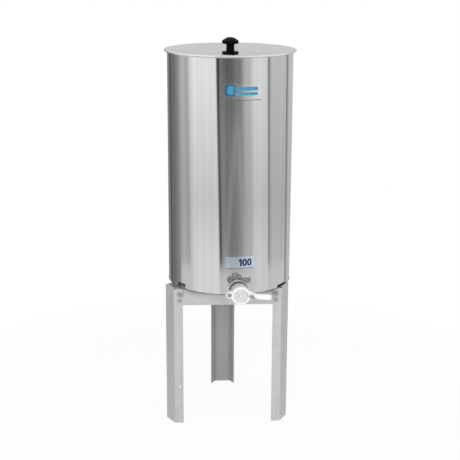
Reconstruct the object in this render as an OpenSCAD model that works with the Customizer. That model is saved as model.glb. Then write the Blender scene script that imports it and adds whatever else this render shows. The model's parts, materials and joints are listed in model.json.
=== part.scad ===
// Honey settling tank: a sheet steel cylinder with a dished lid and a swing gate,
// set down on a bolted stand with three folded legs.
// The floor is at height zero, the tank's axis stands on the origin and the gate
// points along minus Y.

/* [Tank] */
// Outside diameter of the wall
tank_d = 370; // [330:5:420]
// Height from the tank's underside to the top of its rim
tank_h = 695; // [560:1:820]
// Thickness of the tank's sheet
tank_sheet = 1; // [0.8:0.1:1.4]
// Outside diameter of the rolled rim
rim_d = 6.4; // [5:0.2:8]
// Height of the bottom pan's flange inside the wall
pan_flange_h = 8; // [6:0.5:16]
// Inside radius of the bottom pan's corner
pan_corner_r = 3; // [2:0.5:4]

/* [Lid] */
// Thickness of the lid's sheet
lid_sheet = 1; // [0.8:0.1:1.4]
// Depth of the dished panel below the lid's top
lid_dish = 14.5; // [6:0.5:20]
// Gap between the dish and the inside of the tank
dish_gap = 2; // [1:0.25:4]
// Gap between the rolled rim and the hem
hem_gap = 2.6; // [2:0.2:6]
// Height of the turned-down hem
hem_h = 5; // [5:0.5:14]
// Inside radius of the lid's folds
lid_fold_r = 2; // [1.5:0.25:2.75]

/* [Knob] */
// Overall height of the knob
knob_h = 48; // [42:1:60]
// Diameter of the knob's base
knob_base_d = 50; // [44:1:60]
// Height of the knob's base
knob_base_h = 7; // [4:0.5:9]
// Diameter of the knob's neck
knob_neck_d = 24; // [20:1:30]
// Diameter of the knob's head
knob_head_d = 49; // [44:1:60]
// Height of the knob's head
knob_head_h = 19; // [14:0.5:24]
// Height of the upright side of the knob's head
knob_side_h = 10.5; // [8:0.5:13]

/* [Outlet] */
// Bore of the outlet and of the gate
outlet_bore = 38; // [32:1:44]
// Wall of the welded socket
socket_wall = 2.5; // [2:0.25:5]
// Gap between the socket and the floor of the pan
outlet_lift = 0.5; // [0.4:0.1:8]
// Length of the socket between the wall and its collar
socket_reach = 18; // [10:1:40]
// Width of the socket's collar beyond its sleeve
collar_w = 6.7; // [6.1:0.2:10]
// Thickness of the socket's collar
collar_t = 8; // [4:1:12]
// Length of the threaded spigot
spigot_l = 20; // [14:1:30]
// Thickness of the rubber gasket
gasket_t = 8; // [3:0.5:12]

/* [Gate] */
// Diameter of the gate's disc
gate_d = 55; // [52:1:70]
// Thickness of the body's front plate
plate_t = 7; // [5:0.5:10]
// Length of the neck between union nut and plate
neck_l = 6; // [6:0.5:16]
// Thickness of the blade
blade_t = 5; // [4:0.5:8]
// Height of the blade's rim above the blade
blade_rim_h = 3; // [2:0.25:3.5]
// Length of the handle beyond the clamp bolt
handle_l = 57; // [30:1:90]
// Width of the handle
handle_w = 17; // [13:0.5:21]
// Turn of the gate out of level, clockwise from the front
gate_roll = 5.2; // [-10:0.1:10]
// Grip ribs round the union nut
nut_ribs = 28; // [12:2:40]
// Reach of each wing of the wing nut
wing_reach = 12.8; // [11:0.2:16]
// Turn of the wings out of level, clockwise from the front
wing_turn = 20; // [0:5:180]

/* [Stand] */
// Height of the seat that carries the tank
stand_h = 431; // [300:1:600]
// Gap between the tank and the webs of the legs
seat_gap = 13; // [13:0.5:30]
// Width of a leg's web
leg_web_w = 51; // [44:1:70]
// Width of a leg's flange
leg_flange_w = 26; // [22:0.2:40]
// Thickness of the legs' sheet
leg_sheet = 2; // [1.5:0.25:3]
// Rise of a leg's web above the seat
leg_lip = 5; // [3:0.5:20]
// Height of a crossbar
bar_h = 51; // [34:1:60]
// Width of a crossbar's top
bar_w = 25; // [16:1:28]
// Thickness of the crossbars' sheet
bar_sheet = 2; // [1.5:0.25:3]
// Distance between the two bolts of a joint
bolt_pitch = 19; // [13:0.5:24]
// Distance from the bolts and the spare hole to the flange's free edge
bolt_edge = 9.4; // [8:0.2:12]
// Diameter of the spare hole in each leg
spare_hole_d = 6; // [4:0.5:10]
// Height of the spare hole above the floor
spare_hole_z = 119; // [40:1:200]
// Turn of the stand against the gate
stand_turn = -4.1; // [-30:0.1:30]
// Sideways place of the stand's middle
stand_shift_x = -10.5; // [-11:0.5:0]
// Front to back place of the stand's middle
stand_shift_y = -1; // [-9:0.5:0]

/* [Screws] */
// Diameter of every screw
screw_d = 6; // [5:0.5:8]
// Hexagon of heads and nuts, across its flats
hex_af = 10; // [8:0.5:13]
// Height of a hexagon head
hex_head_h = 4; // [3:0.25:5]
// Height of a hexagon nut
hex_nut_h = 5; // [4:0.25:6]
// Diameter of a washer
washer_d = 12; // [11:0.5:14]
// Thickness of a washer
washer_t = 1.2; // [0.8:0.1:2]

/* [Hidden] */

$fn = 64;
// Facets of the large rounds
fine = 160;
// Facets of the whole circle that the dish is a small part of
dish_fine = 1080;

// Gap between fixed round pieces that sit in each other
seam_gap = 0.1;
// Gap between pieces that move over each other
run_gap = 0.25;
// Radial clearance of a hinge pin or a turning nut
pin_gap = 0.05;
// Radial clearance of a screw in its hole
screw_gap = 0.3;
// Extra length of every cut
overrun = 1;
// Depth to which joined shapes of one piece run into each other
lap = 1;

// Screws
screw_r = screw_d / 2;
screw_hole_r = screw_r + screw_gap;
hex_r = hex_af / 2 / cos(30);
washer_r = washer_d / 2;
// Thread that shows past a nut
screw_end = 2;

// Tank
tank_r = tank_d / 2;
tank_in_r = tank_r - tank_sheet;
tank_top_z = stand_h + tank_h;
rim_r = rim_d / 2;
rim_out_r = tank_in_r + rim_d;
// Opening where the rolled rim's edge stops short of the wall
curl_gap = 0.8;
pan_r = tank_in_r - seam_gap;
pan_fold_r = pan_corner_r + tank_sheet;

// Lid
lid_seat_z = tank_top_z + run_gap;
lid_top_z = lid_seat_z + lid_sheet;
lid_r = rim_out_r + hem_gap + lid_sheet;
lid_fold_out_r = lid_fold_r + lid_sheet;
panel_z = lid_top_z - lid_dish;
dish_edge_r = tank_in_r - dish_gap;
dish_r = (dish_edge_r * dish_edge_r + lid_dish * lid_dish) / (2 * lid_dish);
// Radius of the hem's rolled edge
hem_edge_r = 1.2;

// Knob: the flat of its base stands on the dish all round
knob_base_edge_r = knob_base_h / 2;
knob_flat_r = knob_base_d / 2 - knob_base_edge_r;
knob_rise = dish_r - sqrt(dish_r * dish_r - knob_flat_r * knob_flat_r);
knob_neck_r = knob_neck_d / 2;
// Radius between the knob's neck and its base and head
knob_fillet_r = 4;
knob_head_z = knob_h - knob_head_h;
// Radius of the edges of the head's side
head_edge_r = 3;
dome_base_r = knob_head_d / 2 - head_edge_r;
dome_h = knob_head_h - knob_side_h;
dome_r = (dome_base_r * dome_base_r + dome_h * dome_h) / (2 * dome_h);
// Threaded insert in the knob
insert_r = 5;
insert_h = 16;
// Round head of the knob's screw
knob_screw_head_r = 5.5;
knob_screw_head_h = 4;

// Outlet: places along its axis are distances from the tank's axis
bore_r = outlet_bore / 2;
socket_r = bore_r + socket_wall;
outlet_z = stand_h + tank_sheet + outlet_lift + socket_r;
// Length of the socket inside the tank
socket_inset = 5;
socket_s0 = tank_in_r - socket_inset;
collar_s0 = tank_r + socket_reach;
collar_s1 = collar_s0 + collar_t;
collar_r = socket_r + collar_w;
collar_chamfer = 1;
// Height of the spigot's thread over the sleeve
thread_h = 2.3;
spigot_r = socket_r + thread_h;
spigot_s1 = collar_s1 + spigot_l;
// Drop of the gasket below the collar's edge
gasket_step = 0.6;
gasket_r = collar_r - gasket_step;
tail_seal_t = 2;

// Gate body and union nut
tail_s0 = spigot_s1 + tail_seal_t;
tail_t = 5;
tail_s1 = tail_s0 + tail_t;
tail_r = spigot_r - seam_gap;
neck_wall = 2.3;
neck_r = bore_r + neck_wall;
neck_fillet_r = 3;
nut_s0 = collar_s1 + gasket_t;
nut_lip_t = 5;
nut_s1 = tail_s1 + nut_lip_t;
nut_wall = 2;
nut_bore_r = spigot_r + seam_gap;
nut_r = nut_bore_r + nut_wall;
nut_chamfer = 1;
nut_rib_r = 1.2;
plate_s0 = nut_s1 + neck_l;
plate_s1 = plate_s0 + plate_t;
gate_r = gate_d / 2;

// Gate blade
blade_s0 = plate_s1 + run_gap;
blade_s1 = blade_s0 + blade_t;
// Step from the disc's edge to its rim
blade_rim_step = 1.5;
blade_rim_w = 5.5;
blade_rim_r = gate_r - blade_rim_step;
blade_rim_in_r = blade_rim_r - blade_rim_w;
blade_rim_round_r = 1.5;
blade_rim_s1 = blade_s1 + blade_rim_h;
// Thickness of the disc inside its rim
blade_floor_t = 3.5;
blade_rib_w = 3;
// Drop of the crossed ribs below the rim
blade_rib_drop = 1;
// Room between a washer and the rim
rim_room = 1;
pivot_reach = blade_rim_r + rim_room + washer_r;
// Width of an ear round its washer
ear_w = 4.8;
ear_r = washer_r + ear_w;
slot_gap = 0.5;
slot_r = screw_r + slot_gap;
slot_path_r = 2 * pivot_reach;
// Width of the lug round the slot
lug_w = 9;
lug_r = slot_r + lug_w;
// Places on the disc's edge where the lug's shoulder and chin begin
shoulder_a = 45;
chin_a = 35;
handle_round_r = 3;

// Fasteners of the gate
pivot_washer_s0 = blade_s1 + run_gap;
pivot_head_s0 = pivot_washer_s0 + washer_t;
pivot_end_s = plate_s0 - hex_nut_h - screw_end;
wing_s0 = pivot_washer_s0 + washer_t + run_gap;
hub_r = 5.8;
hub_top_r = 4.6;
hub_h = 7;
// Rounded end of a wing and its height over the nut's seat
wing_pad_r = 4;
wing_pad_h = 7.5;
wing_foot_h = 1.5;
wing_t = 2.4;
wing_h = wing_pad_h + wing_pad_r;
clamp_end_s = wing_s0 + hub_h + screw_end;

// Legs: the flanges fold inwards in line with the sides of the triangle
fold_a = 60;
leg_angles = [-150, -30, 90];
side_angles = [-90, 30, 150];
leg_reach = tank_r + seat_gap + leg_sheet;
leg_h = stand_h + leg_lip;
leg_bend_r = 2;
leg_bend_out_r = leg_bend_r + leg_sheet;
leg_bend_l = leg_bend_out_r * tan(fold_a / 2);
web_flat = leg_web_w / 2 - leg_bend_l;
flange_flat = leg_flange_w - leg_bend_l;
// Drop of the flanges below the seat
flange_drop = 0.5;

// Crossbars: a side's place is its distance from the stand's middle
side_r = leg_reach * cos(fold_a) + leg_web_w / 2 * sin(fold_a);
side_corner = leg_reach * sin(fold_a) - leg_web_w / 2 * cos(fold_a);
bar_face_r = side_r - leg_sheet;
bar_bend_r = 2;
bar_bend_out_r = bar_bend_r + bar_sheet;
// Distance from a crossbar's end to the leg's corner
bar_end_gap = 4.5;
bar_l = 2 * (side_corner - bar_end_gap);

// Bolts of the stand
bolt_y = side_corner - leg_flange_w + bolt_edge;
bolt_mid_z = stand_h - (bar_h + bar_bend_out_r) / 2;
bolt_nut_r = bar_face_r - bar_sheet;
bolt_end_r = bolt_nut_r - hex_nut_h - screw_end;

// Round bar between two places along Z
module span(r, from, to) {
    translate([0, 0, from]) cylinder(r = r, h = to - from);
}

// Round tube between two places along Z
module tube(r_out, r_in, from, to) {
    difference() {
        span(r_out, from, to);
        span(r_in, from - overrun, to + overrun);
    }
}

// Hexagon prism of a screw head or a nut
module hexagon(from, h) {
    translate([0, 0, from]) cylinder(r = hex_r, h = h, $fn = 6);
}

// Rectangle whose upper right corner is round
module corner_block(w, h, r) {
    square([w, h - r]);
    square([w - r, h]);
    translate([w - r, h - r]) circle(r);
}

// Outlet frame: Z points out of the tank along the outlet's axis
module at_outlet() {
    translate([0, 0, outlet_z]) rotate([90, 0, 0]) children();
}

module at_gate() {
    at_outlet() rotate(-gate_roll) children();
}

module at_pivot() {
    at_gate() translate([-pivot_reach, 0, 0]) children();
}

module at_clamp() {
    at_gate() translate([pivot_reach, 0, 0]) children();
}

module at_knob() {
    translate([0, 0, panel_z]) children();
}

module at_stand() {
    translate([stand_shift_x, stand_shift_y, 0]) rotate(stand_turn) children();
}

// The four bolts of one side of the stand, with Z along each bolt towards the outside
module at_bolts(side) {
    for (end = [-1, 1], row = [-1, 1])
        rotate(side) translate([0, end * bolt_y, bolt_mid_z + row * bolt_pitch / 2])
            rotate([0, 90, 0]) children();
}

module outlet_cut() {
    at_outlet() span(socket_r + seam_gap, socket_s0 - overrun, tank_r + overrun);
}

module shell_profile() {
    translate([tank_in_r, stand_h]) square([tank_sheet, tank_h - rim_r]);
    translate([tank_in_r + rim_r, tank_top_z - rim_r]) difference() {
        circle(rim_r);
        circle(rim_r - tank_sheet);
        translate([tank_sheet - rim_r, -rim_r]) square([curl_gap, rim_r]);
    }
}

module tank_shell() {
    color("silver") difference() {
        rotate_extrude($fn = fine) shell_profile();
        outlet_cut();
    }
}

module pan_profile() {
    in_h = pan_flange_h - tank_sheet + overrun;
    translate([0, stand_h + pan_flange_h]) mirror([0, 1]) difference() {
        corner_block(pan_r, pan_flange_h, pan_fold_r);
        translate([0, -overrun]) corner_block(pan_r - tank_sheet, in_h, pan_corner_r);
    }
}

module tank_floor() {
    color("silver") difference() {
        rotate_extrude($fn = fine) pan_profile();
        outlet_cut();
    }
}

module outlet_socket() {
    color("lightgray") at_outlet() rotate_extrude() polygon([
        [bore_r, socket_s0],
        [socket_r, socket_s0],
        [socket_r, collar_s0],
        [collar_r - collar_chamfer, collar_s0],
        [collar_r, collar_s0 + collar_chamfer],
        [collar_r, collar_s1 - collar_chamfer],
        [collar_r - collar_chamfer, collar_s1],
        [spigot_r, collar_s1],
        [spigot_r, spigot_s1],
        [bore_r, spigot_s1]
    ]);
}

module socket_gasket() {
    color("black") at_outlet() tube(gasket_r, spigot_r + seam_gap, collar_s1, nut_s0);
}

module tail_seal() {
    color("black") at_outlet() tube(tail_r, bore_r, spigot_s1, tail_s0);
}

module nut_profile() {
    polygon([
        [0, nut_s0],
        [nut_r - nut_chamfer, nut_s0],
        [nut_r, nut_s0 + nut_chamfer],
        [nut_r, nut_s1 - nut_chamfer],
        [nut_r - nut_chamfer, nut_s1],
        [0, nut_s1]
    ]);
}

module union_nut() {
    rib_s0 = nut_s0 + nut_chamfer + nut_rib_r;
    rib_s1 = nut_s1 - nut_chamfer - nut_rib_r;
    color("whitesmoke") at_gate() difference() {
        union() {
            rotate_extrude() nut_profile();
            for (i = [0 : nut_ribs - 1])
                rotate(i * 360 / nut_ribs) translate([nut_r, 0, 0])
                    span(nut_rib_r, rib_s0, rib_s1, $fn = 16);
        }
        span(nut_bore_r, nut_s0 - overrun, tail_s1);
        span(neck_r + seam_gap, tail_s1 - overrun, nut_s1 + overrun);
    }
}

module tail_profile() {
    translate([0, tail_s0]) square([tail_r, tail_t]);
    translate([0, tail_s0]) square([neck_r, plate_s0 + lap - tail_s0]);
    translate([0, plate_s0 - neck_fillet_r]) difference() {
        square([neck_r + neck_fillet_r, neck_fillet_r + lap]);
        translate([neck_r + neck_fillet_r, 0]) circle(neck_fillet_r);
    }
}

module plate_outline() {
    circle(gate_r);
    translate([-pivot_reach, -ear_r]) square([2 * pivot_reach, 2 * ear_r]);
    for (u = [-pivot_reach, pivot_reach])
        translate([u, 0]) circle(ear_r);
}

module gate_body() {
    color("white") at_gate() difference() {
        union() {
            rotate_extrude() tail_profile();
            translate([0, 0, plate_s0]) linear_extrude(plate_t) plate_outline();
        }
        span(bore_r, tail_s0 - overrun, plate_s1 + overrun);
        for (u = [-pivot_reach, pivot_reach])
            translate([u, 0, 0]) span(screw_hole_r, plate_s0 - overrun, plate_s1 + overrun);
    }
}

module handle_outline() {
    tip = handle_l - handle_round_r;
    edge = handle_w / 2 - handle_round_r;
    translate([0, -handle_w / 2]) square([tip, handle_w]);
    translate([0, -edge]) square([handle_l, 2 * edge]);
    for (v = [-edge, edge])
        translate([tip, v]) circle(handle_round_r);
}

module blade_outline() {
    circle(gate_r);
    translate([-pivot_reach, 0]) circle(ear_r);
    translate([-pivot_reach, -ear_r]) square([pivot_reach, 2 * ear_r]);
    polygon([
        [0, 0],
        [gate_r * cos(shoulder_a), gate_r * sin(shoulder_a)],
        [pivot_reach, lug_r],
        [pivot_reach, -handle_w / 2],
        [gate_r * cos(chin_a), -gate_r * sin(chin_a)]
    ]);
    translate([pivot_reach, 0]) {
        handle_outline();
        intersection() {
            circle(lug_r);
            translate([-lug_r, 0]) square([2 * lug_r, lug_r]);
        }
    }
}

// Slot that lets the clamp bolt out downwards as the blade swings up
module slot_outline() {
    translate([pivot_reach, 0]) circle(slot_r);
    translate([-pivot_reach, 0]) intersection() {
        difference() {
            circle(slot_path_r + slot_r, $fn = fine);
            circle(slot_path_r - slot_r, $fn = fine);
        }
        translate([0, -slot_path_r]) square([2 * slot_path_r, slot_path_r]);
    }
}

module blade_rim_profile() {
    round_r = blade_rim_round_r;
    foot_s = blade_s0 + blade_floor_t;
    translate([blade_rim_in_r, foot_s]) square([blade_rim_w, blade_rim_s1 - round_r - foot_s]);
    translate([blade_rim_in_r + round_r, foot_s])
        square([blade_rim_w - 2 * round_r, blade_rim_s1 - foot_s]);
    for (r = [blade_rim_in_r + round_r, blade_rim_r - round_r])
        translate([r, blade_rim_s1 - round_r]) circle(round_r);
}

module blade_ribs() {
    foot_s = blade_s0 + blade_floor_t - lap;
    rib_l = 2 * (blade_rim_in_r + blade_rim_round_r);
    translate([0, 0, foot_s]) linear_extrude(blade_rim_s1 - blade_rib_drop - foot_s)
        for (turn = [-45, 45])
            rotate(turn) square([rib_l, blade_rib_w], center = true);
}

module gate_blade() {
    color("white") at_gate() {
        difference() {
            translate([0, 0, blade_s0]) linear_extrude(blade_t) blade_outline();
            span(blade_rim_in_r, blade_s0 + blade_floor_t, blade_s1 + overrun);
            translate([0, 0, blade_s0 - overrun])
                linear_extrude(blade_t + 2 * overrun) slot_outline();
            translate([-pivot_reach, 0, 0])
                span(screw_r + pin_gap, blade_s0 - overrun, blade_s1 + overrun);
        }
        rotate_extrude() blade_rim_profile();
        blade_ribs();
    }
}

module pivot_bolt() {
    color("darkgray") at_pivot() {
        hexagon(pivot_head_s0, hex_head_h);
        span(screw_r, pivot_end_s, pivot_head_s0 + lap);
    }
}

module pivot_washer() {
    color("darkgray") at_pivot()
        tube(washer_r, screw_r + seam_gap, pivot_washer_s0, pivot_head_s0);
}

module pivot_nut() {
    color("darkgray") at_pivot() difference() {
        hexagon(plate_s0 - hex_nut_h, hex_nut_h);
        span(screw_r + seam_gap, pivot_end_s - overrun, plate_s0 + overrun);
    }
}

module clamp_bolt() {
    color("darkgray") at_clamp() {
        hexagon(plate_s0 - hex_head_h, hex_head_h);
        span(screw_r, plate_s0 - lap, clamp_end_s);
    }
}

module clamp_washer() {
    color("darkgray") at_clamp()
        tube(washer_r, screw_r + seam_gap, pivot_washer_s0, pivot_washer_s0 + washer_t);
}

module wing_outline() {
    pad_x = wing_reach - wing_pad_r;
    for (side = [0, 1]) mirror([side, 0]) {
        translate([pad_x, wing_pad_h]) circle(wing_pad_r);
        polygon([
            [0, wing_foot_h],
            [pad_x, wing_pad_h - wing_pad_r],
            [pad_x - wing_pad_r, wing_pad_h],
            [0, hub_h]
        ]);
    }
}

module wing_nut() {
    color("dimgray") at_clamp() difference() {
        translate([0, 0, wing_s0]) union() {
            cylinder(r1 = hub_r, r2 = hub_top_r, h = hub_h);
            rotate(-wing_turn) rotate([90, 0, 0]) translate([0, 0, -wing_t / 2])
                linear_extrude(wing_t) wing_outline();
        }
        span(screw_r + pin_gap, wing_s0 - overrun, wing_s0 + wing_h + overrun);
    }
}

// Circle of the dish, whose centre is far above the lid
module dish_circle(r) {
    translate([0, panel_z + dish_r]) circle(r, $fn = dish_fine);
}

// Solid round that takes in the lid's hem, flange and dish
module lid_block_profile() {
    cap_h = hem_h - hem_edge_r;
    translate([0, lid_top_z - cap_h]) corner_block(lid_r, cap_h, lid_fold_out_r);
    translate([lid_r - hem_edge_r, lid_top_z - cap_h]) circle(hem_edge_r);
    intersection() {
        dish_circle(dish_r + lid_sheet);
        translate([0, panel_z - lid_sheet]) square([dish_edge_r + lap, lid_dish + lid_sheet]);
    }
}

// Room under the flange, between the dish and the hem
module lid_under_profile() {
    skirt_h = hem_h - hem_edge_r - lid_sheet;
    difference() {
        union() {
            translate([0, lid_seat_z - skirt_h])
                corner_block(lid_r - lid_sheet, skirt_h, lid_fold_r);
            translate([0, lid_seat_z - lid_dish - hem_h])
                square([lid_r - 2 * hem_edge_r, lid_dish + hem_h - lid_fold_r]);
        }
        dish_circle(dish_r + lid_sheet);
    }
}

module lid() {
    color("silver") difference() {
        rotate_extrude($fn = fine) difference() {
            lid_block_profile();
            lid_under_profile();
            dish_circle(dish_r);
        }
        at_knob() span(screw_hole_r, -lid_sheet - overrun, overrun);
    }
}

// Hollow round between the neck and a flat face
module knob_fillet_profile() {
    difference() {
        translate([0, -lap]) square([knob_neck_r + knob_fillet_r, knob_fillet_r + lap]);
        translate([knob_neck_r + knob_fillet_r, knob_fillet_r]) circle(knob_fillet_r);
    }
}

module knob_profile() {
    square([knob_flat_r, knob_base_h]);
    translate([knob_flat_r, knob_base_edge_r]) circle(knob_base_edge_r);
    square([knob_neck_r, knob_head_z + lap]);
    translate([0, knob_base_h]) knob_fillet_profile();
    translate([0, knob_head_z]) {
        mirror([0, 1]) knob_fillet_profile();
        square([dome_base_r, knob_side_h]);
        translate([0, head_edge_r]) square([knob_head_d / 2, knob_side_h - 2 * head_edge_r]);
        for (z = [head_edge_r, knob_side_h - head_edge_r])
            translate([dome_base_r, z]) circle(head_edge_r);
    }
    intersection() {
        translate([0, knob_h - dome_r]) circle(dome_r, $fn = fine);
        translate([0, knob_h - dome_h - lap]) square([dome_base_r, dome_h + lap]);
    }
}

module lid_knob() {
    color("black") at_knob() translate([0, 0, knob_rise]) difference() {
        rotate_extrude() knob_profile();
        span(insert_r + seam_gap, -overrun, insert_h);
    }
}

module knob_insert() {
    color("goldenrod") at_knob() translate([0, 0, knob_rise])
        tube(insert_r, screw_r + seam_gap, 0, insert_h);
}

module knob_screw() {
    head_z = -lid_sheet - washer_t;
    color("darkgray") at_knob() {
        span(knob_screw_head_r, head_z - knob_screw_head_h, head_z);
        span(screw_r, head_z - lap, insert_h - screw_end);
    }
}

module knob_washer() {
    color("darkgray") at_knob()
        tube(washer_r, screw_r + seam_gap, -lid_sheet - washer_t, -lid_sheet);
}

// Place on a flange: distance from the centre of its bend, then along the flange
function on_flange(r, along) = [
    leg_reach - leg_bend_out_r + r * cos(fold_a) - along * sin(fold_a),
    web_flat + r * sin(fold_a) + along * cos(fold_a)
];

function mirrored(points) =
    [for (i = [len(points) - 1 : -1 : 0]) [points[i][0], -points[i][1]]];

// Area behind a face of the web and the flanges, with both bends round
module leg_area(points, bend_r) {
    polygon(concat(points, mirrored(points)));
    for (y = [-web_flat, web_flat])
        translate([leg_reach - leg_bend_out_r, y]) circle(bend_r);
}

// Section of a leg whose web stands across the X axis
module leg_section() {
    difference() {
        leg_area([
            [leg_reach, web_flat],
            on_flange(leg_bend_out_r, 0),
            on_flange(leg_bend_out_r, flange_flat),
            on_flange(leg_bend_r, flange_flat)
        ], leg_bend_out_r);
        leg_area([
            [leg_reach - leg_sheet, web_flat],
            on_flange(leg_bend_r, 0),
            on_flange(leg_bend_r, flange_flat + overrun)
        ], leg_bend_r);
    }
}

module leg(angle) {
    cut_l = bar_face_r - bar_sheet;
    color("gainsboro") at_stand() difference() {
        rotate(angle) difference() {
            linear_extrude(leg_h) leg_section();
            for (side = [0, 1]) mirror([0, side, 0])
                translate([cut_l, web_flat, stand_h - flange_drop])
                    cube([leg_reach, leg_flange_w, leg_lip + flange_drop + overrun]);
        }
        for (side = [angle - fold_a, angle + fold_a])
            at_bolts(side) span(screw_hole_r, cut_l, side_r + overrun);
        rotate(angle + fold_a) translate([0, -bolt_y, spare_hole_z]) rotate([0, 90, 0])
            span(spare_hole_d / 2, cut_l, side_r + overrun);
    }
}

module leg_front_left() leg(leg_angles[0]);
module leg_front_right() leg(leg_angles[1]);
module leg_back() leg(leg_angles[2]);

// Section of a crossbar: an upright leaf outside and a flat leaf on top
module bar_section() {
    in_w = bar_w - bar_sheet + overrun;
    in_h = bar_h - bar_sheet + overrun;
    translate([bar_face_r - bar_w, stand_h - bar_h]) difference() {
        corner_block(bar_w, bar_h, bar_bend_out_r);
        translate([-overrun, -overrun]) corner_block(in_w, in_h, bar_bend_r);
    }
}

module crossbar(side) {
    color("gainsboro") at_stand() difference() {
        rotate(side) translate([0, bar_l / 2, 0]) rotate([90, 0, 0])
            linear_extrude(bar_l) bar_section();
        at_bolts(side) span(screw_hole_r, bolt_nut_r - overrun, bar_face_r + overrun);
    }
}

module crossbar_front() crossbar(side_angles[0]);
module crossbar_right() crossbar(side_angles[1]);
module crossbar_left() crossbar(side_angles[2]);

module stand_bolts() {
    color("darkgray") at_stand() for (side = side_angles) at_bolts(side) {
        hexagon(side_r, hex_head_h);
        span(screw_r, bolt_end_r, side_r + lap);
    }
}

module stand_nuts() {
    color("darkgray") at_stand() for (side = side_angles) at_bolts(side)
        difference() {
            hexagon(bolt_nut_r - hex_nut_h, hex_nut_h);
            span(screw_r + seam_gap, bolt_end_r - overrun, bolt_nut_r + overrun);
        }
}

tank_shell();
tank_floor();
outlet_socket();
socket_gasket();
tail_seal();
union_nut();
gate_body();
gate_blade();
pivot_bolt();
pivot_washer();
pivot_nut();
clamp_bolt();
clamp_washer();
wing_nut();
lid();
lid_knob();
knob_insert();
knob_screw();
knob_washer();
leg_front_left();
leg_front_right();
leg_back();
crossbar_front();
crossbar_right();
crossbar_left();
stand_bolts();
stand_nuts();
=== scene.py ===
"""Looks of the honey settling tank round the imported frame: materials, labels, welds, screws and studio."""
import json
import math

import bmesh
import bpy
from mathutils import Matrix, Vector


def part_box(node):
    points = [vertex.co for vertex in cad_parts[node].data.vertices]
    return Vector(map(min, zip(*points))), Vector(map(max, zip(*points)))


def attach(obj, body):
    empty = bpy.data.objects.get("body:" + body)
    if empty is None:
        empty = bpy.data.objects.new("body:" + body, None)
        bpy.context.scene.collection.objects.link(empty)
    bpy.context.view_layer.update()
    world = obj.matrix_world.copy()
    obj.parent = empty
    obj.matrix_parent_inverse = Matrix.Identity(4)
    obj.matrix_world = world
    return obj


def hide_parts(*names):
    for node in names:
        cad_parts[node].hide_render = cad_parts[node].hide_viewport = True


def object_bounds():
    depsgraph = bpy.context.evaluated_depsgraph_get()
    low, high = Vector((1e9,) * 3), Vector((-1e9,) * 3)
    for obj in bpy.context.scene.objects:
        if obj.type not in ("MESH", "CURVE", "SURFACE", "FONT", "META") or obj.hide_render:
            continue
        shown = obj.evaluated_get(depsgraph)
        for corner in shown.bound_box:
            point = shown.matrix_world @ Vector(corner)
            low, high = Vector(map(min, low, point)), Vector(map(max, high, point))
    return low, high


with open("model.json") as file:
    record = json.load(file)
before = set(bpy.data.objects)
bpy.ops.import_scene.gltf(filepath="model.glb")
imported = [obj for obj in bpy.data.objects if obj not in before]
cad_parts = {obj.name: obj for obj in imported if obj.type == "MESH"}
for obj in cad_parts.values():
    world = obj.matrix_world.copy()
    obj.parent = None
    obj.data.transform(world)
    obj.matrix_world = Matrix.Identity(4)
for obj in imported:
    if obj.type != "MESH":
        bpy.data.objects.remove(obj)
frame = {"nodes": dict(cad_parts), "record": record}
cad_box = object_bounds()
nodes = frame["nodes"]
slots = {part["node"]: part["material_slot"] for part in frame["record"]["subparts"]}
mounts = {mount["name"]: mount for mount in frame["record"]["mounts"]}

# Camera: its place and turn fit the photograph's view, for a frame of 460 by 460
LENS, SENSOR = 84.558, 36.0
CAMERA_REACH, CAMERA_HEIGHT = 3.18363, 1.44349
CAMERA_TURN, CAMERA_PAN = math.radians(-7.43), math.radians(0.034)
CAMERA_PITCH, CAMERA_ROLL = math.radians(15.202), math.radians(0.299)

# Floor: a pale disc that fades out, and the share of plain white that the camera sees on it
FLOOR_R, FLOOR_FADE_START, FLOOR_FADE_END, FLOOR_RINGS = 1.15, 0.75, 1.13, 12
FLOOR_WHITE = 0.95
# World: white to the camera and in reflections, and this bright as light on surfaces
AMBIENT = 0.29
# Each soft light: azimuth, height, distance, side, share of a white surface's brightness
LIGHTS = [(-20, 1.1, 2.2, 1.2, 0.38), (15, 1.0, 2.2, 1.2, 0.42), (0, 2.6, 0.0, 1.6, 0.31)]

# Ring of light and dark panels that the steel mirrors; it fades to white towards its top
RING_R, RING_LOW, RING_HIGH, RING_SIDES = 4.5, -1.4, 2.4, 180
RING_FADE_LOW, RING_FADE_HIGH = 0.72, 2.0
# Each panel: azimuth where it starts, width of its soft edge, brightness
PANELS = [
    (-180, 0, 0.30), (-152, 8, 0.14), (-137, 16, 0.24), (-112, 16, 0.65), (-94, 7, 0.56), (-85, 8, 0.92),
    (-75, 10, 1.10), (-29, 2, 0.10), (-24, 4, 0.33), (-17, 6, 0.26), (2, 8, 0.36), (18, 9, 0.65),
    (34, 9, 0.97), (65, 2, 0.32), (71, 7, 0.72), (116, 3, 0.34), (124, 6, 0.68),
]
# The panels lean by this angle per metre of height, and by less at the left
LEAN, LEAN_LEFT = math.radians(5), math.radians(2)
LEAN_FROM, LEAN_TO = math.radians(-112), math.radians(-60)
# Slanting streaks in the dark front panels: azimuth at height 0, its change per metre, reach to each side
# (all in degrees) and gain. They fade out between the two heights below.
FAN = [(-0.4, 22.4, 7.5, 0.11), (10.1, -8.0, 5.5, 0.10)]
FAN_FULL, FAN_TOP = 0.0, 0.3
# Front panels darker than DARK_BELOW lose up to a share of their brightness towards their top
DARK_BELOW, DARK_FULL, DARK_LOW, DARK_TOP, DARK_SHARE = 0.5, 0.2, 0.1, 0.6, 0.55
DARK_SIDE, DARK_SIDE_END = math.radians(38), math.radians(48)
# Bright panels are dimmed most at the middle height, and at the bottom by a part of that
DIM_TOP, DIM_MIDDLE, DIM_BOTTOM, DIM_SHARE, DIM_BOTTOM_PART = 0.55, -0.35, -0.75, 0.25, 0.5
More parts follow.
